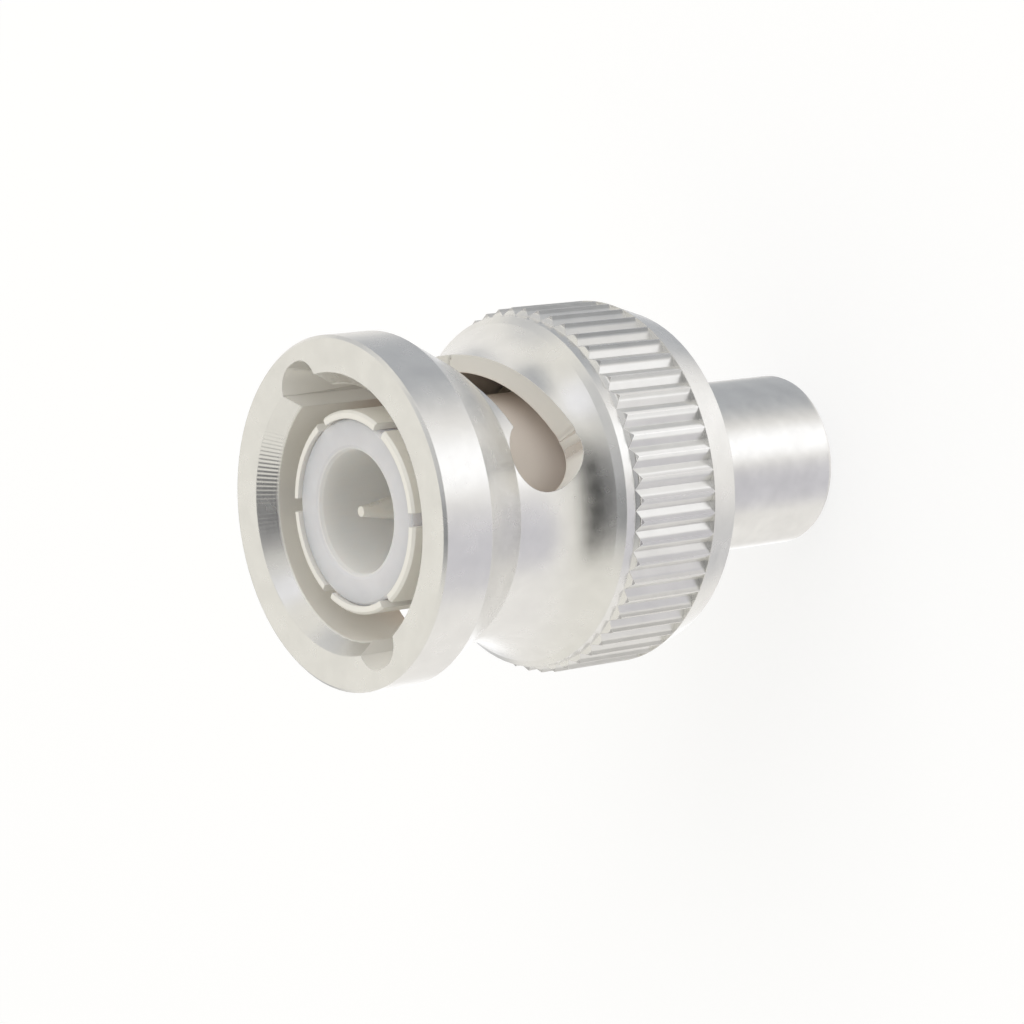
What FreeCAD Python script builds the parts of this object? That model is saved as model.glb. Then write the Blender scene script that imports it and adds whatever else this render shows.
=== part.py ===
import FreeCAD, Part
import math
import os

# A plug of the bayonet coaxial kind that ends a line with a resistor instead of a cable.
# Millimetres. The axis is +Z: the closed tail stands at z = 0 and the mating face looks up.
# The origin is the centre of the tail's flat end. Angles are measured round +Z from +X.

# Coupling nut, outside
overall_length = 23.0
nut_length = 14.7
flange_radius = 7.05
flange_length = 2.25
flange_edge_break = 0.12
neck_radius = 5.75
neck_start = 4.65
neck_end = 5.45
fillet_top_radius = 6.86
fillet_end = 8.55
collar_radius = 7.13
collar_start = 8.83
collar_end = 9.26
knurl_radius = 7.44
knurl_depth = 0.30
knurl_count = 54
knurl_start = 9.45
knurl_end = 13.10
rear_edge_radius = 6.94
rear_edge_break = 0.12

# Coupling nut, inside
nut_bore_radius = 5.09
lead_in_rim_radius = 5.60
lead_in_depth = 0.77
lip_thickness = 1.0
rear_recess_depth = 0.6
rear_recess_radius = 5.30

# Bayonet cam slots. A stud goes in along the entry groove, turns under the flange in a blind track
# and then shows in the open window, which ends in the pocket that holds it.
bayonet_count = 2
entry_angle = 110.3
cam_sweep = 86.3
blind_sweep = 22.0
slot_width = 2.30
mill_ease = 0.02
helix_start = 4.38
helix_rise = 2.14
track_radius = 5.60
pocket_radius = 1.55
pocket_lead = 6.0
pocket_offset = 0.34
entry_groove_radius = 6.38
entry_groove_width = 2.40
entry_corner_radius = 1.05
groove_overrun = 1.0
cutter_overlap = 0.5
band_steps = 6

# Outer contact
finger_radius = 4.04
finger_bore_radius = 3.71
finger_setback = 0.74
finger_count = 6
finger_slot_width = 0.55
finger_slot_length = 5.25
finger_slot_angle = 55.5
finger_edge_break = 0.10
contact_foot_radius = 4.25
contact_foot_step = 0.2
contact_tail_radius = 3.72
contact_tail_bore_radius = 3.30

# Insulators
insulator_setback = 0.86
mating_hole_radius = 2.45
mating_hole_depth = 5.4
mating_rim_round = 0.22
insulator_edge_break = 0.10
rim_facets = 2

# Centre pin
pin_radius = 0.675
pin_tip_radius = 0.21
pin_setback = 1.15
pin_cone_length = 2.75
pin_collar_radius = 1.15
pin_collar_length = 0.9
pin_barrel_radius = 0.95
pin_tail_radius = 0.85
solder_cup_radius = 0.45
solder_cup_depth = 1.5

# Connector body
shoulder_radius = 4.85
shoulder_length = 0.7
neck_tube_radius = 4.20
ring_groove_radius = 3.75
spigot_radius = 3.10
spigot_length = 3.3
chamber_radius = 2.55
insulator_seat_radius = 2.90
tail_seat_depth = 2.4

# Washers, ring and gasket
flat_washer_thickness = 0.25
washer_outer_radius = 4.83
wave_strip_thickness = 0.15
wave_amplitude = 0.20
wave_count = 3
wave_facets = 10
gasket_thickness = 0.8
gasket_outer_radius = 4.80
gasket_edge_break = 0.15
groove_land = 0.25
ring_thickness = 0.40
ring_outer_radius = 4.95
ring_gap_angle = 26.0

# Terminating resistor
core_radius = 1.10
core_length = 4.4
resistor_cap_radius = 1.24
resistor_cap_length = 0.95
resistor_cap_wall = 0.12
lead_radius = 0.30
solder_climb = 0.35
cup_air_gap = 0.1

# End cap
tail_radius = 3.56
tail_edge_radius = 0.22
tail_edge_facets = 3
tail_floor_thickness = 0.9
lead_hole_radius = 0.42
lead_hole_depth = 0.45
cap_solder_spread = 0.35

# Clearances
running_gap = 0.06
seat_gap = 0.02
face_gap = 0.02
washer_play = 0.07

# Levels along the axis, worked out from the sizes above
front_z = overall_length
nut_rear_z = front_z - nut_length
lip_rear_z = nut_rear_z + rear_recess_depth
lip_front_z = lip_rear_z + lip_thickness
wave_free_height = 2 * wave_strip_thickness + face_gap + 2 * wave_amplitude
thrust_washer_z = lip_front_z + face_gap
wave_z = thrust_washer_z + flat_washer_thickness + face_gap
seat_washer_z = wave_z + wave_free_height + face_gap
shoulder_rear_z = seat_washer_z + flat_washer_thickness + face_gap
shoulder_front_z = shoulder_rear_z + shoulder_length
finger_front_z = front_z - finger_setback
insulator_front_z = front_z - insulator_setback
hole_floor_z = insulator_front_z - mating_hole_depth
pin_tip_z = front_z - pin_setback
pin_cone_z = pin_tip_z - pin_cone_length
contact_rear_z = shoulder_front_z - tail_seat_depth
insulator_step_z = shoulder_front_z + gasket_thickness
pin_tail_z = contact_rear_z - face_gap
ring_z = lip_rear_z - face_gap - ring_thickness
groove_rear_z = ring_z - face_gap
groove_front_z = ring_z + ring_thickness + face_gap
cap_rim_z = groove_rear_z - groove_land
spigot_rear_z = cap_rim_z - spigot_length
lip_bore_radius = neck_tube_radius + running_gap
washer_bore_radius = neck_tube_radius + washer_play
contact_foot_z = insulator_step_z + contact_foot_step
gasket_bore_radius = contact_foot_radius + seat_gap
cup_floor_z = pin_tail_z + solder_cup_depth
pin_solder_tip_z = pin_tail_z - solder_climb
cap_solder_tip_z = tail_floor_thickness + solder_climb
lead_hole_floor_z = tail_floor_thickness - lead_hole_depth

# The resistor hangs on its wires half way between the two solder joints
resistor_length = core_length + 2 * resistor_cap_wall
resistor_rear_z = (cap_solder_tip_z + pin_solder_tip_z - resistor_length) / 2
resistor_front_z = resistor_rear_z + resistor_length

# The cam's stations, behind the nut's front face
cam_end_angle = entry_angle - cam_sweep
cam_end = helix_start + helix_rise
window_turn = blind_sweep / cam_sweep
cutter_radius = flange_radius + cutter_overlap


def turned(points):
    """A solid turned about the axis from a closed outline of (radius, height) points."""
    corners = [FreeCAD.Vector(radius, 0, height) for radius, height in points]
    outline = Part.makePolygon(corners + corners[:1])
    return Part.Face(outline).revolve(FreeCAD.Vector(), FreeCAD.Vector(0, 0, 1), 360)


def turned_edges(edges):
    """A solid turned about the axis from the edges of a closed outline in the XZ plane."""
    outline = Part.Wire(edges)
    return Part.Face(outline).revolve(FreeCAD.Vector(), FreeCAD.Vector(0, 0, 1), 360)


def ring(outer, inner, low, high):
    """A plain ring or tube from height low to height high."""
    base = FreeCAD.Vector(0, 0, low)
    tube = Part.makeCylinder(outer, high - low, base)
    return tube.cut(Part.makeCylinder(inner, high - low, base))


def around(shape, count, step):
    """Copies of a shape turned about the axis by step degrees each."""
    copies = []
    for index in range(count):
        copy = shape.copy()
        copy.rotate(FreeCAD.Vector(), FreeCAD.Vector(0, 0, 1), index * step)
        copies.append(copy)
    return copies


def station(distance):
    """The height of a station that lies this far behind the nut's front face."""
    return front_z - distance


def line(start, end):
    return Part.LineSegment(FreeCAD.Vector(start[0], 0, start[1]), FreeCAD.Vector(end[0], 0, end[1])).toShape()


def arc(start, middle, end):
    points = [FreeCAD.Vector(radius, 0, height) for radius, height in (start, middle, end)]
    return Part.Arc(*points).toShape()


def arc_off_wall(start, end):
    """An arc that leaves an upright wall downwards, in line with it, and bends to the end point."""
    rise = end[0] - start[0]
    run = start[1] - end[1]
    radius = (run * run + rise * rise) / (2 * abs(rise))
    half_turn = math.asin(run / radius) / 2
    side = math.copysign(radius * (1 - math.cos(half_turn)), rise)
    return arc(start, (start[0] + side, start[1] - radius * math.sin(half_turn)), end)


def quarter_round(centre, size, start, turn, facets):
    """Points of a quarter round in flats: about a centre, from the start angle on, in degrees."""
    points = []
    for index in range(facets + 1):
        angle = math.radians(start + turn * index / facets)
        points.append((centre[0] + size * math.cos(angle), centre[1] + size * math.sin(angle)))
    return points


def nut_blank():
    """The turned blank of the nut: flange, waisted neck, collar, grip ring and stepped bore."""
    neck = (neck_radius, station(neck_end))
    fillet_top = (fillet_top_radius, station(fillet_end))
    outside = [
        (lead_in_rim_radius, front_z),
        (flange_radius - flange_edge_break, front_z),
        (flange_radius, front_z - flange_edge_break),
        (flange_radius, station(flange_length)),
        (neck_radius, station(neck_start)),
        neck,
    ]
    edges = [line(outside[i], outside[i + 1]) for i in range(len(outside) - 1)]
    edges.append(arc_off_wall(neck, fillet_top))
    rest = [
        fillet_top,
        (collar_radius, station(collar_start)),
        (collar_radius, station(collar_end)),
        (knurl_radius, station(knurl_start)),
        (knurl_radius, station(knurl_end)),
        (rear_edge_radius, nut_rear_z + rear_edge_break),
        (rear_edge_radius - rear_edge_break, nut_rear_z),
        (rear_recess_radius, nut_rear_z),
        (rear_recess_radius, lip_rear_z),
        (lip_bore_radius, lip_rear_z),
        (lip_bore_radius, lip_front_z),
        (nut_bore_radius, lip_front_z),
        (nut_bore_radius, station(lead_in_depth)),
        (lead_in_rim_radius, front_z),
    ]
    edges += [line(rest[i], rest[i + 1]) for i in range(len(rest) - 1)]
    return turned_edges(edges)


def knurl_cutters():
    """One V cutter per groove of the straight knurl; its end runs out through the front chamfer."""
    pitch = 2 * math.pi * knurl_radius / knurl_count
    reach = knurl_depth * 2
    half_width = pitch / 2 * (knurl_depth + reach) / knurl_depth
    root = knurl_radius - knurl_depth
    corners = [
        FreeCAD.Vector(root, 0, 0),
        FreeCAD.Vector(knurl_radius + reach, half_width, 0),
        FreeCAD.Vector(knurl_radius + reach, -half_width, 0),
    ]
    section = Part.Face(Part.makePolygon(corners + corners[:1]))
    section.translate(FreeCAD.Vector(0, 0, station(knurl_end)))
    bar = section.extrude(FreeCAD.Vector(0, 0, knurl_end - collar_end + knurl_depth))
    return around(bar, knurl_count, 360 / knurl_count)


def helix_point(turn, radius, shift):
    """A point over the cam slot's centreline; turn runs from 0 at the entry to 1 at the pocket."""
    angle = math.radians(entry_angle - cam_sweep * turn)
    height = station(helix_start + helix_rise * turn) + shift
    return FreeCAD.Vector(radius * math.cos(angle), radius * math.sin(angle), height)


def cam_band(start, end):
    """A slanting stretch of the cam slot: a ruled band that turns with the axis and goes through the wall."""
    inner = nut_bore_radius - cutter_overlap
    half = slot_width / 2
    turns = [start + (end - start) * k / band_steps for k in range(band_steps + 1)]
    sides = []
    for shift in (half, -half):
        for radius in (inner, cutter_radius):
            curve = Part.BSplineCurve()
            curve.interpolate([helix_point(turn, radius, shift) for turn in turns])
            sides.append(curve.toShape())
    upper_in, upper_out, lower_in, lower_out = sides
    faces = [
        Part.makeRuledSurface(upper_in, upper_out),
        Part.makeRuledSurface(lower_in, lower_out),
        Part.makeRuledSurface(upper_in, lower_in),
        Part.makeRuledSurface(upper_out, lower_out),
    ]
    for turn in (start, end):
        loop = [helix_point(turn, inner, half), helix_point(turn, cutter_radius, half),
                helix_point(turn, cutter_radius, -half), helix_point(turn, inner, -half)]
        faces.append(Part.Face(Part.makePolygon(loop + loop[:1])))
    shell = Part.Shell(faces)
    shell.sewShape()
    return Part.Solid(shell)


def radial_drill(radius, angle, distance):
    """A round cutter through the wall that points out from the axis at this angle and station."""
    direction = FreeCAD.Vector(math.cos(math.radians(angle)), math.sin(math.radians(angle)), 0)
    start = nut_bore_radius - 2 * cutter_overlap
    base = FreeCAD.Vector(0, 0, station(distance)) + direction * start
    return Part.makeCylinder(radius, cutter_radius - start, base, direction)


def groove_section():
    """The face of the entry groove, seen along it: straight sides and a floor with round corners."""
    half = entry_groove_width / 2
    corner = entry_corner_radius
    floor = entry_groove_radius
    inner = nut_bore_radius / 2
    bend = corner * math.sqrt(0.5)
    side = [FreeCAD.Vector(inner, -half, 0), FreeCAD.Vector(floor - corner, -half, 0),
            FreeCAD.Vector(floor - corner + bend, corner - half - bend, 0), FreeCAD.Vector(floor, corner - half, 0)]
    mirror = [FreeCAD.Vector(point.x, -point.y, 0) for point in side]
    edges = [
        Part.LineSegment(mirror[0], side[0]).toShape(),
        Part.LineSegment(side[0], side[1]).toShape(),
        Part.Arc(side[1], side[2], side[3]).toShape(),
        Part.LineSegment(side[3], mirror[3]).toShape(),
        Part.Arc(mirror[3], mirror[2], mirror[1]).toShape(),
        Part.LineSegment(mirror[1], mirror[0]).toShape(),
    ]
    return Part.Face(Part.Wire(edges))


def entry_groove():
    """The way in for a stud: deep at the front face, with a floor that slopes down to the blind track."""
    slope = math.atan2(entry_groove_radius - track_radius, helix_start)
    section = groove_section()
    section.translate(FreeCAD.Vector(0, 0, station(-groove_overrun)))
    reach = groove_overrun + (helix_start + cutter_overlap) / math.cos(slope)
    groove = section.extrude(FreeCAD.Vector(0, 0, -reach))
    groove.rotate(FreeCAD.Vector(entry_groove_radius, 0, front_z), FreeCAD.Vector(0, 1, 0), math.degrees(slope))
    groove.rotate(FreeCAD.Vector(), FreeCAD.Vector(0, 0, 1), entry_angle)
    return groove


def blind_cutters():
    """The stud's path that doesn't break through: straight in, then round under the flange."""
    straight = Part.makeBox(
        cutter_radius, entry_groove_width, helix_start + groove_overrun,
        FreeCAD.Vector(0, -entry_groove_width / 2, station(helix_start)))
    straight.rotate(FreeCAD.Vector(), FreeCAD.Vector(0, 0, 1), entry_angle)
    corner = radial_drill(slot_width / 2 - mill_ease, entry_angle, helix_start)
    depth = Part.makeCylinder(track_radius, nut_length + groove_overrun, FreeCAD.Vector(0, 0, nut_rear_z))
    return [cutter.common(depth) for cutter in (straight, corner, cam_band(0, window_turn))]


def window_cutters():
    """The open stretch of the cam slot, with a round start, a round end and the larger pocket."""
    half = slot_width / 2 - mill_ease
    return [
        cam_band(window_turn, 1),
        radial_drill(half, entry_angle - blind_sweep, helix_start + helix_rise * window_turn),
        radial_drill(half, cam_end_angle, cam_end),
        radial_drill(pocket_radius, cam_end_angle - pocket_lead, cam_end - pocket_offset),
    ]


def coupling_nut():
    nut = nut_blank()
    for cutter in [entry_groove(), *blind_cutters(), *window_cutters()]:
        nut = nut.cut(around(cutter, bayonet_count, 360 / bayonet_count))
    return nut.cut(knurl_cutters())


def outer_contact():
    """Sleeve with spring fingers; its stepped tail is pressed into the body."""
    sleeve = turned([
        (finger_bore_radius, finger_front_z),
        (finger_radius - finger_edge_break, finger_front_z),
        (finger_radius, finger_front_z - finger_edge_break),
        (finger_radius, contact_foot_z),
        (contact_foot_radius, contact_foot_z),
        (contact_foot_radius, shoulder_front_z + face_gap),
        (contact_tail_radius, shoulder_front_z + face_gap),
        (contact_tail_radius, contact_rear_z),
        (contact_tail_bore_radius, contact_rear_z),
        (contact_tail_bore_radius, insulator_step_z),
        (finger_bore_radius, insulator_step_z),
    ])
    slot_floor_z = finger_front_z - finger_slot_length
    saw = Part.makeBox(
        finger_radius + cutter_overlap, finger_slot_width, finger_slot_length + cutter_overlap,
        FreeCAD.Vector(0, -finger_slot_width / 2, slot_floor_z))
    saw.rotate(FreeCAD.Vector(), FreeCAD.Vector(0, 0, 1), finger_slot_angle)
    return sleeve.cut(around(saw, finger_count, 360 / finger_count))


def front_insulator():
    """Moulded sleeve with the mating hole, and a stepped bore behind for the pin's barrel and collar."""
    outer = finger_bore_radius - seat_gap
    rear_z = insulator_step_z + face_gap
    collar_z = rear_z + pin_collar_length
    inner_rim = (mating_hole_radius + mating_rim_round, insulator_front_z - mating_rim_round)
    return turned([
        (pin_barrel_radius + seat_gap, collar_z),
        (pin_barrel_radius + seat_gap, hole_floor_z),
        (mating_hole_radius, hole_floor_z),
        *quarter_round(inner_rim, mating_rim_round, 180, -90, rim_facets),
        (outer - insulator_edge_break, insulator_front_z),
        (outer, insulator_front_z - insulator_edge_break),
        (outer, rear_z),
        (pin_collar_radius + seat_gap, rear_z),
        (pin_collar_radius + seat_gap, collar_z),
    ])


def rear_insulator():
    """Disc that fills the contact's tail and holds the pin's collar up."""
    outer = contact_tail_bore_radius - seat_gap
    return ring(outer, pin_tail_radius + seat_gap, contact_rear_z, insulator_step_z)


def centre_pin():
    collar_z = insulator_step_z + face_gap
    collar_top_z = collar_z + pin_collar_length - face_gap
    return turned([
        (0, pin_tip_z),
        (pin_tip_radius, pin_tip_z),
        (pin_radius, pin_cone_z),
        (pin_radius, hole_floor_z),
        (pin_barrel_radius, hole_floor_z),
        (pin_barrel_radius, collar_top_z),
        (pin_collar_radius, collar_top_z),
        (pin_collar_radius, collar_z),
        (pin_tail_radius, collar_z),
        (pin_tail_radius, pin_tail_z),
        (solder_cup_radius, pin_tail_z),
        (solder_cup_radius, cup_floor_z),
        (0, cup_floor_z + solder_cup_radius),
    ])


def connector_body():
    """Turned body: spigot, ring groove, neck tube under the nut's lip, shoulder and stepped bore."""
    return turned([
        (chamber_radius, spigot_rear_z),
        (spigot_radius, spigot_rear_z),
        (spigot_radius, cap_rim_z + face_gap),
        (neck_tube_radius, cap_rim_z + face_gap),
        (neck_tube_radius, groove_rear_z),
        (ring_groove_radius, groove_rear_z),
        (ring_groove_radius, groove_front_z),
        (neck_tube_radius, groove_front_z),
        (neck_tube_radius, shoulder_rear_z),
        (shoulder_radius, shoulder_rear_z),
        (shoulder_radius, shoulder_front_z),
        (contact_tail_radius + seat_gap, shoulder_front_z),
        (contact_tail_radius + seat_gap, contact_rear_z - face_gap),
        (insulator_seat_radius, contact_rear_z - face_gap),
        (insulator_seat_radius, groove_front_z),
        (chamber_radius, groove_front_z),
    ])


def interface_gasket():
    """Rubber ring round the foot of the fingers, with its outer front edge broken."""
    low = shoulder_front_z + face_gap
    high = low + gasket_thickness
    return turned([
        (gasket_bore_radius, low),
        (gasket_outer_radius, low),
        (gasket_outer_radius, high - gasket_edge_break),
        (gasket_outer_radius - gasket_edge_break, high),
        (gasket_bore_radius, high),
    ])


def flat_washer(low):
    return ring(washer_outer_radius, washer_bore_radius, low, low + flat_washer_thickness)


def wave_washer(low):
    """A ring of spring strip in short straight lengths, whose height rises and falls three times in one turn."""
    steps = wave_count * wave_facets
    sections = []
    for index in range(steps):
        angle = 2 * math.pi * index / steps
        bottom = low + wave_amplitude * (1 + math.sin(wave_count * angle))
        top = bottom + wave_strip_thickness
        corners = [
            FreeCAD.Vector(washer_bore_radius, 0, bottom),
            FreeCAD.Vector(washer_outer_radius, 0, bottom),
            FreeCAD.Vector(washer_outer_radius, 0, top),
            FreeCAD.Vector(washer_bore_radius, 0, top),
        ]
        section = Part.makePolygon(corners + corners[:1])
        section.rotate(FreeCAD.Vector(), FreeCAD.Vector(0, 0, 1), math.degrees(angle))
        sections.append(section)
    return Part.makeLoft(sections, True, True, True)


def retaining_ring():
    """Open ring of square wire that sits in the body's groove behind the nut's lip."""
    inner = ring_groove_radius + seat_gap
    whole = ring(ring_outer_radius, inner, ring_z, ring_z + ring_thickness)
    reach = ring_outer_radius + cutter_overlap
    half_gap = reach * math.tan(math.radians(ring_gap_angle / 2))
    corners = [
        FreeCAD.Vector(0, 0, ring_z),
        FreeCAD.Vector(half_gap, -reach, ring_z),
        FreeCAD.Vector(-half_gap, -reach, ring_z),
    ]
    wedge = Part.Face(Part.makePolygon(corners + corners[:1]))
    return whole.cut(wedge.extrude(FreeCAD.Vector(0, 0, ring_thickness)))


def resistor_core():
    return Part.makeCylinder(core_radius, core_length, FreeCAD.Vector(0, 0, resistor_rear_z + resistor_cap_wall))


def resistor_cap(closed_z, direction):
    """Metal cup over one end of the core; direction is +1 where it opens upwards."""
    open_z = closed_z + direction * resistor_cap_length
    floor_z = closed_z + direction * resistor_cap_wall
    return turned([
        (0, closed_z),
        (resistor_cap_radius, closed_z),
        (resistor_cap_radius, open_z),
        (core_radius + seat_gap, open_z),
        (core_radius + seat_gap, floor_z),
        (0, floor_z),
    ])


def lead(low, high):
    return Part.makeCylinder(lead_radius, high - low, FreeCAD.Vector(0, 0, low))


def solder_fillet(low, high, outer_radius, mouth_z, mouth_radius):
    """Solder that fills a cup round a wire and climbs the wire in a cone outside the mouth."""
    inner = lead_radius
    return turned([
        (inner, low),
        (outer_radius, low),
        (outer_radius, high),
        (mouth_radius, high),
        (inner, mouth_z),
    ])


def end_cap():
    """Smooth closed tail, drilled inside for the resistor's wire and bored for the spigot."""
    edge = (tail_radius - tail_edge_radius, tail_edge_radius)
    return turned([
        (lead_hole_radius, lead_hole_floor_z),
        (lead_hole_radius, tail_floor_thickness),
        (chamber_radius, tail_floor_thickness),
        (chamber_radius, spigot_rear_z - face_gap),
        (spigot_radius + seat_gap, spigot_rear_z - face_gap),
        (spigot_radius + seat_gap, cap_rim_z),
        (tail_radius, cap_rim_z),
        *quarter_round(edge, tail_edge_radius, 0, -90, tail_edge_facets),
        (0, 0),
        (0, lead_hole_floor_z),
    ])


def assembly():
    """Every piece of the plug by name."""
    wire_end_z = cup_floor_z - cup_air_gap
    return {
        "coupling_nut": coupling_nut(),
        "outer_contact": outer_contact(),
        "front_insulator": front_insulator(),
        "rear_insulator": rear_insulator(),
        "centre_pin": centre_pin(),
        "connector_body": connector_body(),
        "interface_gasket": interface_gasket(),
        "seat_washer": flat_washer(seat_washer_z),
        "front_wave_washer": wave_washer(wave_z + wave_strip_thickness + face_gap),
        "rear_wave_washer": wave_washer(wave_z),
        "thrust_washer": flat_washer(thrust_washer_z),
        "retaining_ring": retaining_ring(),
        "resistor_core": resistor_core(),
        "resistor_front_cap": resistor_cap(resistor_front_z, -1),
        "resistor_rear_cap": resistor_cap(resistor_rear_z, 1),
        "resistor_front_lead": lead(resistor_front_z, wire_end_z),
        "resistor_rear_lead": lead(lead_hole_floor_z, resistor_rear_z),
        "pin_solder": solder_fillet(wire_end_z, pin_tail_z, solder_cup_radius, pin_solder_tip_z, pin_tail_radius),
        "cap_solder": solder_fillet(lead_hole_floor_z, tail_floor_thickness, lead_hole_radius,
                                    cap_solder_tip_z, lead_hole_radius + cap_solder_spread),
        "end_cap": end_cap(),
    }


def main():
    os.makedirs("parts", exist_ok=True)
    for name, shape in assembly().items():
        shape.exportStep("parts/" + name + ".step")
        print(name, shape.isValid(), len(shape.Solids), round(shape.Volume, 3), round(shape.BoundBox.ZMin, 3),
              round(shape.BoundBox.ZMax, 3))


main()
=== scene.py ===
import math

import bpy
from mathutils import Matrix, Vector


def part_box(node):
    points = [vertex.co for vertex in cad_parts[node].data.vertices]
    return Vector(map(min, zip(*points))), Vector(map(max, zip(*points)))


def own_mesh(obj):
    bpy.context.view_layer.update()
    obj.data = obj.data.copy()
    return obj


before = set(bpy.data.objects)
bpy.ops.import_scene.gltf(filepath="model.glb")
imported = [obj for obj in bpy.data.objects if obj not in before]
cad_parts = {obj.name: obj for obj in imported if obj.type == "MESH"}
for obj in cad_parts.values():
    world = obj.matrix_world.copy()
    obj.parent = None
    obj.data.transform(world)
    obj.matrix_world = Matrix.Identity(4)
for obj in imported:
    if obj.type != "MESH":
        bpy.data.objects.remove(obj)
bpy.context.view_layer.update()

MM = 0.001
PLUG_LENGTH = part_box("coupling_nut")[1].z
IMAGE_WIDTH = 1024

# The nut's toothed grip: its two ends, how softly its finish ends there, and between which radii its teeth
# become round, from the share of roundness that their flanks have to fully round crests.
GRIP_FRONT = PLUG_LENGTH - 9.2 * MM
GRIP_REAR = PLUG_LENGTH - 13.1 * MM
GRIP_FADE = 0.1 * MM
CREST_FOOT = 7.27 * MM
CREST_TOP = 7.38 * MM
FLANK_ROUNDNESS = 0.28

# The nut's lead-in cone, and the tool marks on one stretch of it: how many would go all the way round, the
# middle of their stretch as an angle from +X, the cosines of the angles from there at which they end and are
# full, and the share of them that is left elsewhere.
CONE_RADIUS = 5.59 * MM
CONE_REAR = PLUG_LENGTH - 0.9 * MM
CONE_FADE = 0.15 * MM
CHATTER_LINES = 196.0
CHATTER_MIDDLE = 155.0
CHATTER_END = 0.82
CHATTER_FULL = 0.97
CHATTER_ELSEWHERE = 0.02

# Inner surfaces: the nut's bore and the whole contact are dull, being within these radii, and have a lighter
# tone there, which is painted light; between two depths they become duller and warmer. The insulator is
# lighter and warmer within its mating hole, which is painted light too.
NUT_INSIDE = 5.15 * MM
CONTACT_INSIDE = 4.10 * MM
INSIDE_FADE = 0.06 * MM
DEEP_BEGINS = PLUG_LENGTH - 3.0 * MM
DEEP_IS_FULL = PLUG_LENGTH - 4.5 * MM
HOLE_RADIUS = 2.44 * MM
HOLE_FADE = 0.16 * MM

# Scales of the noises: about how many of their waves there are to the metre.
CLOUD_SCALE = 900.0
GRAIN_SCALE = 2500.0
LINE_SCALE = 7000.0
INSULATOR_CLOUD_SCALE = 600.0
INSULATOR_GRAIN_SCALE = 6000.0
INNER_CLOUD_SCALE = 1500.0
PAPER_SCALE = 40.0

# Finish of the plating: how far clouds and grain change its roughness, how tall its marks are, how softly it
# goes over edges, and how much less bright milled walls and inner surfaces are.
CLOUD_GLOSS = 0.12
GRAIN_GLOSS = 0.02
LINE_HEIGHT = 0.35
GRAIN_HEIGHT = 0.09
MARK_DEPTH = 0.004 * MM
EDGE_ROUNDING = 0.045 * MM
METALLIC = 0.92
MILLED_ROUGHER = 0.08
MILLED_LESS_METALLIC = 0.14
INSIDE_ROUGHER = 0.12
INSIDE_LESS_METALLIC = 0.62

# Sideways lean of a face, which is 1 where it faces straight along the turn. Up to the first value it is only
# a flat of the mesh, and past the second it is real. Between the other two the face becomes a milled wall.
FLAT_LEAN = 0.05
REAL_LEAN = 0.12
TURNED_LEAN = 0.10
MILLED_LEAN = 0.25

# A noise rarely leaves the middle of its range, so these parts of it stand for the whole.
MIDDLE = (0.35, 0.65)
WIDE_MIDDLE = (0.3, 0.7)

# Tones of the metals and the insulator.
SILVER = (0.90, 0.895, 0.88)
CONTACT_SILVER = (0.90, 0.885, 0.85)
PIN_SILVER = (0.90, 0.88, 0.84)
# Lighter tones for the inner metal surfaces are painted light; the deep one is also warmer.
INSIDE_PAINTED_LIGHT_SILVER = (0.97, 0.955, 0.91)
DEEP_PAINTED_LIGHT_SILVER = (0.965, 0.89, 0.82)
INSULATOR_DARK = (0.73, 0.726, 0.76)
INSULATOR_LIGHT = (0.78, 0.776, 0.81)
# Lighter tone down the insulator's mating hole: painted light.
INSULATOR_HOLE_PAINTED_LIGHT = (0.95, 0.93, 0.90)
WHITE = (1.0, 1.0, 1.0)

# Finish of the insulator, with how far each colour of light spreads below its surface, and that of the small
# inner pieces, with how far their clouds change the roughness and how deep they are.
INSULATOR_GLOSS = (0.34, 0.46)
INSULATOR_GRAIN_DEPTH = 0.003 * MM
INSULATOR_GLOW = (1.0, 0.9, 0.85)
INSULATOR_GLOW_DEPTH = 1.8 * MM
INNER_GLOSS = 0.15
INNER_CLOUD_DEPTH = 0.006 * MM

# Where some of the studio's areas end, and where they are full. Heights run from -1, straight down, to 1,
# straight up. The opening's sides are cosines of the angle from its heading, and its core is the share of its
# half height in which it is full.
LOW_PATCH_HALF_HEIGHT = (0.34, 0.12)
STRIP_TOP = (-0.25, -0.5)
STRIP_FOOT = (-1.04, -0.84)
OPENING_SIDES = (0.60, 0.90)
OPENING_CORE = 0.2
LOWER_WALLS = (0.25, -0.45)

# Floor, and the one lamp beside the studio's own light.
FLOOR_HALF_WIDTH = 1.5
FLOOR_GLOW = 0.72
KEY_PLACE = (0.10, 0.25, 0.30)
KEY_TARGET = (0.0, 0.0, 12 * MM)
KEY_SIZE = 0.30
KEY_POWER = 0.35

# Camera, as fitted to the photograph: its axes are the columns of its rotation.
CAMERA_FOCAL_PX = 4000
SENSOR_WIDTH = 36.0
CAMERA_RIGHT = (0.60978, -0.08211, -0.78831)
CAMERA_UP = (0.0, 0.99462, -0.10360)
CAMERA_BACK = (0.79257, 0.06317, 0.60650)
CAMERA_PLACE = (0.128197, 0.009426, PLUG_LENGTH + 0.089497)
CAMERA_NEAR = 0.005


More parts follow.
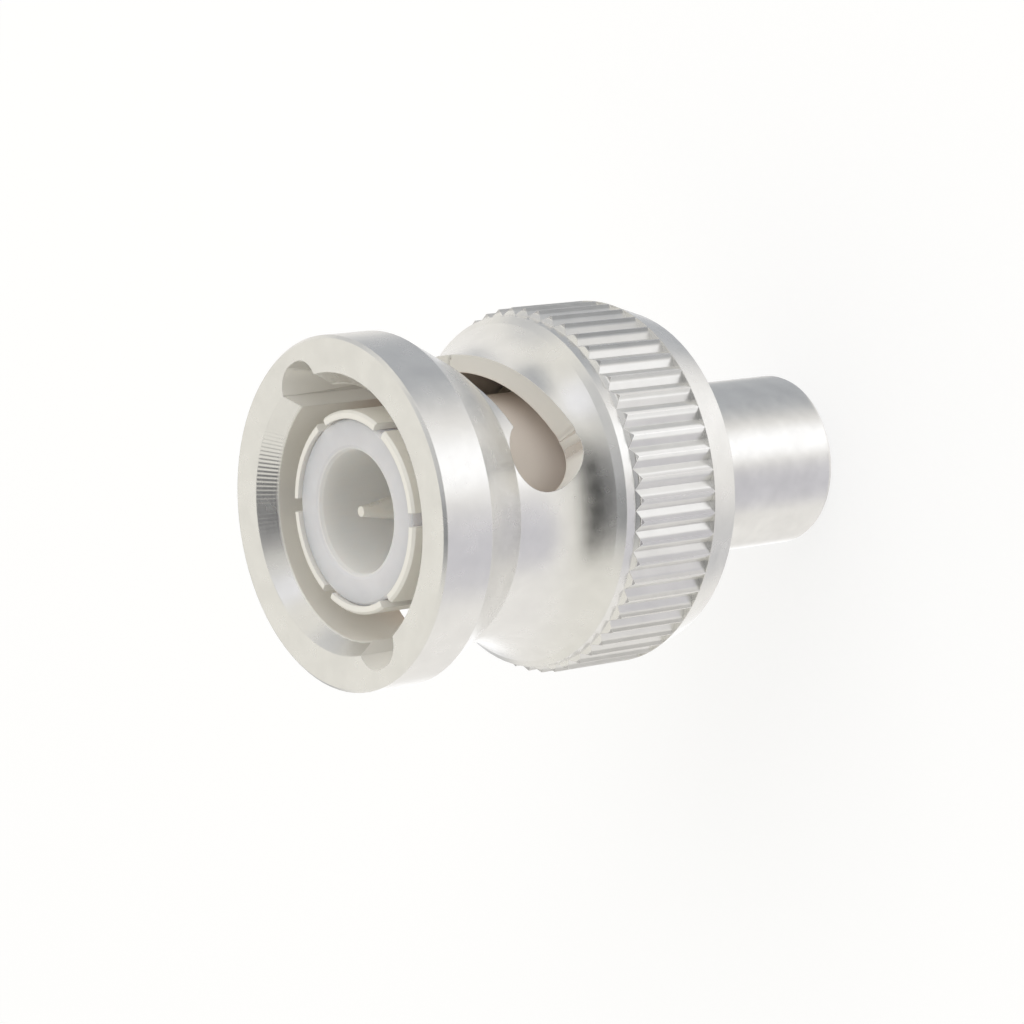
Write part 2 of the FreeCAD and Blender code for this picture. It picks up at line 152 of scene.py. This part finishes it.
class Nodes:
    """A short way to write a node tree: add returns a new node, feed fills one input, and every other method
    returns the output of a new node."""

    def __init__(self, tree):
        self.tree = tree
        tree.nodes.clear()

    def add(self, kind, inputs=None, **settings):
        node = self.tree.nodes.new(kind)
        for name, value in settings.items():
            setattr(node, name, value)
        for key, value in (inputs or {}).items():
            self.feed(node.inputs[key], value)
        return node

    def feed(self, socket, value):
        if isinstance(value, bpy.types.NodeSocket):
            self.tree.links.new(value, socket)
        else:
            socket.default_value = value

    def math(self, operation, first, second=0.0):
        return self.add("ShaderNodeMath", {0: first, 1: second}, operation=operation).outputs[0]

    def plus(self, first, second):
        return self.math("ADD", first, second)

    def minus(self, first, second):
        return self.math("SUBTRACT", first, second)

    def times(self, first, second):
        return self.math("MULTIPLY", first, second)

    def vector_math(self, operation, inputs, output="Vector"):
        return self.add("ShaderNodeVectorMath", inputs, operation=operation).outputs[output]

    def dot(self, first, second):
        return self.vector_math("DOT_PRODUCT", {0: first, 1: second}, "Value")

    def unit(self, vector):
        return self.vector_math("NORMALIZE", {0: vector})

    def noise(self, vector, scale, detail, roughness=0.55):
        inputs = {"Vector": vector, "Scale": scale, "Detail": detail, "Roughness": roughness}
        return self.add("ShaderNodeTexNoise", inputs).outputs["Fac"]

    def spread(self, value, low, high, out_low=0.0, out_high=1.0, smooth=False):
        """Stretches the range from low to high over another one, and holds still outside it."""
        inputs = {"Value": value, "From Min": low, "From Max": high, "To Min": out_low, "To Max": out_high}
        kind = "SMOOTHSTEP" if smooth else "LINEAR"
        return self.add("ShaderNodeMapRange", inputs, interpolation_type=kind).outputs["Result"]

    def mix(self, kind, factor, first, second):
        node = self.add("ShaderNodeMix", data_type=kind)
        self.feed(node.inputs["Factor"], factor)
        self.feed(node.inputs["A"], first)
        self.feed(node.inputs["B"], second)
        return node.outputs["Result"]

    def blend(self, factor, first, second):
        """From one colour to another. Each is a socket or three numbers."""
        sides = [side if isinstance(side, bpy.types.NodeSocket) else colour(side) for side in (first, second)]
        return self.mix("RGBA", factor, *sides)

    def bump(self, height, distance, strength, normal=None):
        node = self.add("ShaderNodeBump", {"Height": height, "Distance": distance, "Strength": strength})
        if normal is not None:
            self.feed(node.inputs["Normal"], normal)
        return node.outputs["Normal"]


class Point:
    """The shaded point: its place in the row frame, and its distance from the plug's axis."""

    def __init__(self, nodes):
        self.place = nodes.add("ShaderNodeTexCoord").outputs["Object"]
        self.x, self.y, self.z = nodes.add("ShaderNodeSeparateXYZ", {0: self.place}).outputs
        square = nodes.plus(nodes.times(self.x, self.x), nodes.times(self.y, self.y))
        self.radius = nodes.math("SQRT", square)


def colour(tone):
    return (*tone, 1.0)


def new_material(name):
    material = bpy.data.materials.new(name)
    material.use_nodes = True
    return material, Nodes(material.node_tree)


def close(nodes, inputs):
    """Ends a material with one plain surface."""
    shader = nodes.add("ShaderNodeBsdfPrincipled", inputs)
    nodes.add("ShaderNodeOutputMaterial", {"Surface": shader.outputs[0]})


def plated_metal(name, tint, gloss, mottle=0.06, grip=False, inside=None):
    """Silver-toned plating over turned brass: fine turning lines, soft mottling, a little uneven gloss.
    Milled walls are duller than turned ones, and so is everything within the radius named as inside; there
    and on the slots' walls a lighter tone stands for light, as painted light."""
    material, nodes = new_material(name)
    point = Point(nodes)
    cloud = nodes.noise(point.place, CLOUD_SCALE, detail=4.0)
    grain = nodes.noise(point.place, GRAIN_SCALE, detail=1.0, roughness=0.4)
    dark = tuple(channel * (1.0 - mottle) for channel in tint)
    rough = nodes.spread(cloud, *WIDE_MIDDLE, gloss * (1.0 - CLOUD_GLOSS), gloss * (1.0 + CLOUD_GLOSS))
    rough = nodes.plus(rough, nodes.spread(grain, *WIDE_MIDDLE, -GRAIN_GLOSS, GRAIN_GLOSS))
    milled = milled_walls(nodes, point)
    finish = {
        "Base Color": nodes.blend(nodes.spread(cloud, *MIDDLE), dark, tint),
        "Metallic": nodes.minus(METALLIC, nodes.times(milled, MILLED_LESS_METALLIC)),
        "Roughness": nodes.plus(rough, nodes.times(milled, MILLED_ROUGHER)),
        "Normal": turned_normal(nodes, point, grain, grip)}
    if inside:
        make_inside_dull_and_lightened(nodes, point, inside, milled, finish)
    close(nodes, finish)
    return material


def turned_normal(nodes, point, grain, grip):
    """Softened edges under fine turning lines and grain, and on the nut its round crests and tool marks."""
    along = nodes.plus(point.z, point.radius)
    lines = nodes.add("ShaderNodeTexNoise", {"W": along, "Scale": LINE_SCALE, "Detail": 1.0},
                      noise_dimensions="1D").outputs["Fac"]
    height = nodes.plus(nodes.times(lines, LINE_HEIGHT), nodes.times(grain, GRAIN_HEIGHT))
    edges = nodes.add("ShaderNodeBevel", {"Radius": EDGE_ROUNDING}, samples=4).outputs[0]
    edges = truly_round(nodes, point, edges)
    if grip:
        edges = rounded_crests(nodes, point, edges)
    normal = nodes.bump(height, MARK_DEPTH, strength=0.6, normal=edges)
    return chatter_marks(nodes, point, normal) if grip else normal


def make_inside_dull_and_lightened(nodes, point, inner_radius, milled, finish):
    """Changes the finish within a bore and on the slots' walls, and paints them lighter as painted light,
    warmer deep down. No metal gloss is left deep inside.
    """
    ahead_of_grip = nodes.spread(point.z, GRIP_FRONT, GRIP_FRONT + GRIP_FADE)
    within = nodes.spread(point.radius, inner_radius, inner_radius - INSIDE_FADE)
    dull_and_lightened = nodes.math("MAXIMUM", within, nodes.times(milled, ahead_of_grip))
    deep = nodes.times(nodes.spread(point.z, DEEP_BEGINS, DEEP_IS_FULL), within)
    # Painted light: the dull places get a lighter tone, and deep down a warmer one.
    tint = nodes.blend(deep, INSIDE_PAINTED_LIGHT_SILVER, DEEP_PAINTED_LIGHT_SILVER)
    finish["Base Color"] = nodes.blend(dull_and_lightened, finish["Base Color"], tint)
    finish["Roughness"] = nodes.plus(finish["Roughness"], nodes.times(dull_and_lightened, INSIDE_ROUGHER))
    metallic = nodes.minus(finish["Metallic"], nodes.times(dull_and_lightened, INSIDE_LESS_METALLIC))
    finish["Metallic"] = nodes.times(metallic, nodes.minus(1.0, deep))


def world_direction(nodes, x, y):
    """A level direction given in the row frame, as a unit vector of the world."""
    level = nodes.add("ShaderNodeCombineXYZ", {0: x, 1: y}).outputs[0]
    turned = nodes.add("ShaderNodeVectorTransform", {0: level}, vector_type="NORMAL", convert_from="OBJECT",
                       convert_to="WORLD").outputs[0]
    return nodes.unit(turned)


def truly_round(nodes, point, normal):
    """Takes out the small sideways lean that the mesh's flats give a turned face."""
    sideways = world_direction(nodes, nodes.times(point.y, -1.0), point.x)
    lean = nodes.dot(normal, sideways)
    small = nodes.spread(nodes.math("ABSOLUTE", lean), FLAT_LEAN, REAL_LEAN, 1.0, 0.0, smooth=True)
    excess = nodes.vector_math("SCALE", {0: sideways, "Scale": nodes.times(lean, small)})
    return nodes.unit(nodes.vector_math("SUBTRACT", {0: normal, 1: excess}))


def rounded_crests(nodes, point, normal):
    """The teeth of the grip are rolled round at their crests: there the surface faces straight out."""
    outward = world_direction(nodes, point.x, point.y)
    crest = nodes.spread(point.radius, CREST_FOOT, CREST_TOP, FLANK_ROUNDNESS, 1.0, smooth=True)
    behind = nodes.spread(point.z, GRIP_FRONT, GRIP_FRONT - GRIP_FADE)
    ahead = nodes.spread(point.z, GRIP_REAR, GRIP_REAR + GRIP_FADE / 2)
    share = nodes.times(crest, nodes.times(behind, ahead))
    return nodes.unit(nodes.mix("VECTOR", share, normal, outward))


def milled_walls(nodes, point):
    """One on walls that face sideways round the axis, as those of slots do, and none on turned faces."""
    normal = nodes.add("ShaderNodeTexCoord").outputs["Normal"]
    facing = nodes.add("ShaderNodeSeparateXYZ", {0: normal}).outputs
    across = nodes.minus(nodes.times(facing[1], point.x), nodes.times(facing[0], point.y))
    sideways = nodes.math("ABSOLUTE", nodes.math("DIVIDE", across, point.radius))
    return nodes.spread(sideways, TURNED_LEAN, MILLED_LEAN)


def chatter_marks(nodes, point, normal):
    """Fine lines across one stretch of the nut's lead-in cone, as a tool leaves them."""
    turn = nodes.math("ARCTAN2", point.y, point.x)
    wave = nodes.math("SINE", nodes.times(turn, CHATTER_LINES))
    away = nodes.math("COSINE", nodes.minus(turn, math.radians(CHATTER_MIDDLE)))
    stretch = nodes.spread(away, CHATTER_END, CHATTER_FULL, CHATTER_ELSEWHERE, 1.0, smooth=True)
    front = nodes.spread(point.z, CONE_REAR, CONE_REAR + CONE_FADE)
    cone = nodes.math("LESS_THAN", point.radius, CONE_RADIUS)
    reach = nodes.times(nodes.times(front, cone), stretch)
    return nodes.bump(nodes.times(wave, reach), MARK_DEPTH, strength=1.0, normal=normal)


def insulator_plastic():
    """White fluoroplastic: waxy, faintly see-through, with soft clouds, and painted lighter and warmer down
    the mating hole, as painted light.
    """
    material, nodes = new_material("insulator_white")
    point = Point(nodes)
    cloud = nodes.noise(point.place, INSULATOR_CLOUD_SCALE, detail=3.0)
    grain = nodes.noise(point.place, INSULATOR_GRAIN_SCALE, detail=2.0)
    base = nodes.blend(nodes.spread(cloud, *MIDDLE), INSULATOR_DARK, INSULATOR_LIGHT)
    # Painted light: the mating hole is given a lighter, warmer tone.
    painted_light_in_hole = nodes.spread(point.radius, HOLE_RADIUS + HOLE_FADE, HOLE_RADIUS)
    close(nodes, {
        "Base Color": nodes.blend(painted_light_in_hole, base, INSULATOR_HOLE_PAINTED_LIGHT),
        "Roughness": nodes.spread(grain, *WIDE_MIDDLE, *INSULATOR_GLOSS),
        "Normal": nodes.bump(grain, INSULATOR_GRAIN_DEPTH, strength=0.5),
        "Subsurface Weight": 0.8,
        "Subsurface Radius": INSULATOR_GLOW,
        "Subsurface Scale": INSULATOR_GLOW_DEPTH})
    return material


def plain_solid(name, first, second, rough, metallic=0.0):
    """A small inner piece: two close tones in soft clouds, with a little uneven gloss and grain."""
    material, nodes = new_material(name)
    place = nodes.add("ShaderNodeTexCoord").outputs["Object"]
    cloud = nodes.noise(place, INNER_CLOUD_SCALE, detail=3.0)
    smoothest, roughest = rough * (1.0 - INNER_GLOSS), rough * (1.0 + INNER_GLOSS)
    close(nodes, {
        "Base Color": nodes.blend(nodes.spread(cloud, *MIDDLE), first, second),
        "Metallic": metallic,
        "Roughness": nodes.spread(cloud, *WIDE_MIDDLE, smoothest, roughest),
        "Normal": nodes.bump(cloud, INNER_CLOUD_DEPTH, strength=0.5)})
    return material


def dress(names, material):
    for name in names:
        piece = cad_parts[name]
        piece.data.materials.clear()
        piece.data.materials.append(material)


def dress_plated():
    dress(["coupling_nut"], plated_metal("nut_plating", SILVER, 0.25, grip=True, inside=NUT_INSIDE))
    dress(["outer_contact"], plated_metal("contact_plating", CONTACT_SILVER, 0.32, inside=CONTACT_INSIDE))
    dress(["connector_body"], plated_metal("body_plating", SILVER, 0.30))
    dress(["end_cap"], plated_metal("cap_plating", SILVER, 0.22, mottle=0.09))
    dress(["centre_pin"], plated_metal("pin_plating", PIN_SILVER, 0.30))


def dress_inner():
    dress(["front_insulator", "rear_insulator"], insulator_plastic())
    dress(["interface_gasket"], plain_solid("gasket_rubber", (0.34, 0.30, 0.25), (0.40, 0.36, 0.30), 0.6))
    dress(["seat_washer", "thrust_washer"],
          plain_solid("washer_steel", (0.60, 0.60, 0.60), (0.68, 0.68, 0.68), 0.3, metallic=1.0))
    dress(["front_wave_washer", "rear_wave_washer", "retaining_ring"],
          plain_solid("spring_bronze", (0.66, 0.58, 0.46), (0.74, 0.67, 0.55), 0.3, metallic=1.0))
    dress(["resistor_core"],
          plain_solid("resistor_lacquer", (0.10, 0.22, 0.30), (0.13, 0.27, 0.35), 0.25))
    dress(["resistor_front_cap", "resistor_rear_cap", "resistor_front_lead", "resistor_rear_lead"],
          plain_solid("resistor_metal", (0.72, 0.72, 0.72), (0.80, 0.80, 0.79), 0.28, metallic=1.0))
    dress(["pin_solder", "cap_solder"],
          plain_solid("solder", (0.62, 0.62, 0.64), (0.70, 0.70, 0.71), 0.22, metallic=1.0))


def flatten_springs():
    """Gives each of the two wave washers a mesh of its own."""
    for name in ("front_wave_washer", "rear_wave_washer"):
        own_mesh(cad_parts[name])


class Sky:
    """The studio as the metal sees it: a pale tone on which soft areas are laid one after the other."""

    def __init__(self, nodes, tone):
        self.nodes = nodes
        self.direction = nodes.add("ShaderNodeTexCoord").outputs["Generated"]
        self.height = nodes.add("ShaderNodeSeparateXYZ", {0: self.direction}).outputs[2]
        self.light = tone

    def along(self, towards):
        return self.nodes.dot(self.direction, Vector(towards).normalized())

    def fade(self, value, none, full):
        return self.nodes.spread(value, none, full, smooth=True)

    def lay(self, factor, tone):
        self.light = self.nodes.blend(factor, self.light, tone)

    def round_area(self, towards, full_degrees, end_degrees):
        end, full = (math.cos(math.radians(degrees)) for degrees in (end_degrees, full_degrees))
        return self.fade(self.along(towards), end, full)

    def level_area(self, height, half_height, full_half_height):
        offset = self.nodes.math("ABSOLUTE", self.nodes.minus(self.height, height))
        return self.fade(offset, half_height, full_half_height)

    def patch(self, towards, full_degrees, end_degrees, tone):
        """A round area, full out to one angle from its direction and gone at the other."""
        self.lay(self.round_area(towards, full_degrees, end_degrees), tone)

    def low_patch(self, towards, full_degrees, end_degrees, tone):
        """A patch cut to a level stretch about its own height."""
        level = self.level_area(Vector(towards).normalized().z, *LOW_PATCH_HALF_HEIGHT)
        self.lay(self.nodes.times(level, self.round_area(towards, full_degrees, end_degrees)), tone)

    def strip(self, across, full_degrees, end_degrees, tone):
        """A long lamp below the plug, in the plane that this direction stands on."""
        offset = self.nodes.math("ABSOLUTE", self.along(across))
        end, full = (math.sin(math.radians(degrees)) for degrees in (end_degrees, full_degrees))
        below = self.nodes.times(self.fade(self.height, *STRIP_TOP), self.fade(self.height, *STRIP_FOOT))
        self.lay(self.nodes.times(self.fade(offset, end, full), below), tone)

    def opening(self, heading, height, half_height, tone):
        """A wide opening to one side, as the lens looks through. Its heading is an angle from +X."""
        turn = math.radians(heading)
        ahead = self.fade(self.along((math.cos(turn), math.sin(turn), 0.0)), *OPENING_SIDES)
        level = self.level_area(height, half_height, half_height * OPENING_CORE)
        self.lay(self.nodes.times(level, ahead), tone)


def make_world():
    """Soft white studio with a cool grey side, a long bright strip and a dark opening for the lens."""
    world = bpy.data.worlds.new("studio")
    bpy.context.scene.world = world
    world.use_nodes = True
    nodes = Nodes(world.node_tree)
    sky = Sky(nodes, (0.84, 0.82, 0.76))
    sky.lay(sky.fade(sky.height, *LOWER_WALLS), (0.92, 0.90, 0.87))
    lay_greys_below(sky)
    sky.strip((-0.329, 0.932, 0.152), 5, 22, (1.30, 1.30, 1.31))
    lay_lens_side(sky)
    lay_upper_side(sky)
    lay_flags(sky)
    seen = nodes.add("ShaderNodeLightPath").outputs["Is Camera Ray"]
    light = nodes.blend(seen, sky.light, WHITE)
    background = nodes.add("ShaderNodeBackground", {"Color": light, "Strength": 1.0})
    nodes.add("ShaderNodeOutputWorld", {"Surface": background.outputs[0]})


def lay_greys_below(sky):
    """A wide cool grey and three smaller ones, which show as bands and clouds on the turned sides."""
    sky.low_patch((-0.25, 0.75, -0.62), 9, 44, (0.425, 0.44, 0.465))
    sky.patch((-0.52, 0.30, -0.80), 7, 20, (0.44, 0.455, 0.48))
    sky.patch((0.67, -0.42, -0.62), 6, 32, (0.65, 0.64, 0.68))
    sky.patch((-0.10, -0.27, -0.96), 5, 18, (0.54, 0.54, 0.56))


def lay_lens_side(sky):
    """The grey round the lens, the dark opening that it looks out of, and a dark patch over that."""
    sky.patch((0.63, -0.04, 0.77), 10, 40, (0.50, 0.50, 0.51))
    sky.opening(-6, 0.38, 0.38, (0.0, 0.0, 0.0))
    sky.patch((0.50, -0.20, 0.84), 6, 18, (0.16, 0.17, 0.18))


def lay_upper_side(sky):
    """Two greys and a small bright lamp above the plug's level, towards +Y."""
    sky.patch((0.37, 0.63, 0.68), 8, 26, (0.60, 0.60, 0.60))
    sky.patch((-0.55, 0.78, 0.27), 8, 25, (0.60, 0.60, 0.60))
    sky.patch((0.47, 0.82, 0.34), 3, 16, (1.02, 1.02, 1.06))


def lay_flags(sky):
    """Grey flags just below the plug's level, so that its bright sides keep their form in the other views."""
    sky.patch((-0.97, -0.20, -0.14), 6, 24, (0.30, 0.31, 0.33))
    sky.patch((0.84, 0.52, -0.14), 5, 24, (0.36, 0.37, 0.39))
    sky.patch((0.14, 0.98, -0.16), 5, 22, (0.42, 0.43, 0.45))


def make_floor():
    """A wide pale floor that the tail stands on; it shows white and keeps the shadow."""
    half = FLOOR_HALF_WIDTH
    corners = [(-half, -half, 0), (half, -half, 0), (half, half, 0), (-half, half, 0)]
    mesh = bpy.data.meshes.new("floor")
    mesh.from_pydata(corners, [], [(0, 1, 2, 3)])
    floor = bpy.data.objects.new("floor", mesh)
    bpy.context.scene.collection.objects.link(floor)
    material, nodes = new_material("floor")
    place = nodes.add("ShaderNodeTexCoord").outputs["Object"]
    fibres = nodes.noise(place, PAPER_SCALE, detail=2.0)
    paper = nodes.blend(fibres, (0.80, 0.80, 0.80), (0.82, 0.82, 0.82))
    matte = nodes.add("ShaderNodeBsdfDiffuse", {"Color": paper})
    shade = nodes.add("ShaderNodeBsdfDiffuse", {"Color": colour((0.34, 0.34, 0.34))})
    glow = nodes.add("ShaderNodeEmission", {"Color": colour(WHITE), "Strength": FLOOR_GLOW})
    bright = nodes.add("ShaderNodeAddShader", {0: shade.outputs[0], 1: glow.outputs[0]})
    path = nodes.add("ShaderNodeLightPath")
    seen = nodes.math("MAXIMUM", path.outputs["Is Camera Ray"], path.outputs["Is Transmission Ray"])
    mixed = nodes.add("ShaderNodeMixShader", {0: seen, 1: matte.outputs[0], 2: bright.outputs[0]})
    nodes.add("ShaderNodeOutputMaterial", {"Surface": mixed.outputs[0]})
    mesh.materials.append(material)
    floor.visible_glossy = False


def make_key_lamp():
    lamp = bpy.data.lights.new("key", "AREA")
    lamp.size = KEY_SIZE
    lamp.energy = KEY_POWER
    holder = bpy.data.objects.new("key", lamp)
    bpy.context.scene.collection.objects.link(holder)
    holder.location = KEY_PLACE
    holder.rotation_euler = (Vector(KEY_TARGET) - Vector(KEY_PLACE)).to_track_quat("-Z", "Y").to_euler()
    holder.visible_glossy = False


def make_camera():
    camera = bpy.data.cameras.new("camera")
    camera.sensor_width = SENSOR_WIDTH
    camera.lens = CAMERA_FOCAL_PX / IMAGE_WIDTH * SENSOR_WIDTH
    camera.clip_start = CAMERA_NEAR
    holder = bpy.data.objects.new("camera", camera)
    bpy.context.scene.collection.objects.link(holder)
    rotation = Matrix((CAMERA_RIGHT, CAMERA_UP, CAMERA_BACK)).transposed()
    holder.matrix_world = Matrix.Translation(CAMERA_PLACE) @ rotation.to_4x4()
    bpy.context.scene.camera = holder


def main():
    dress_plated()
    dress_inner()
    flatten_springs()
    make_world()
    make_floor()
    make_key_lamp()
    make_camera()
    bpy.context.scene.view_settings.view_transform = "Standard"


main()
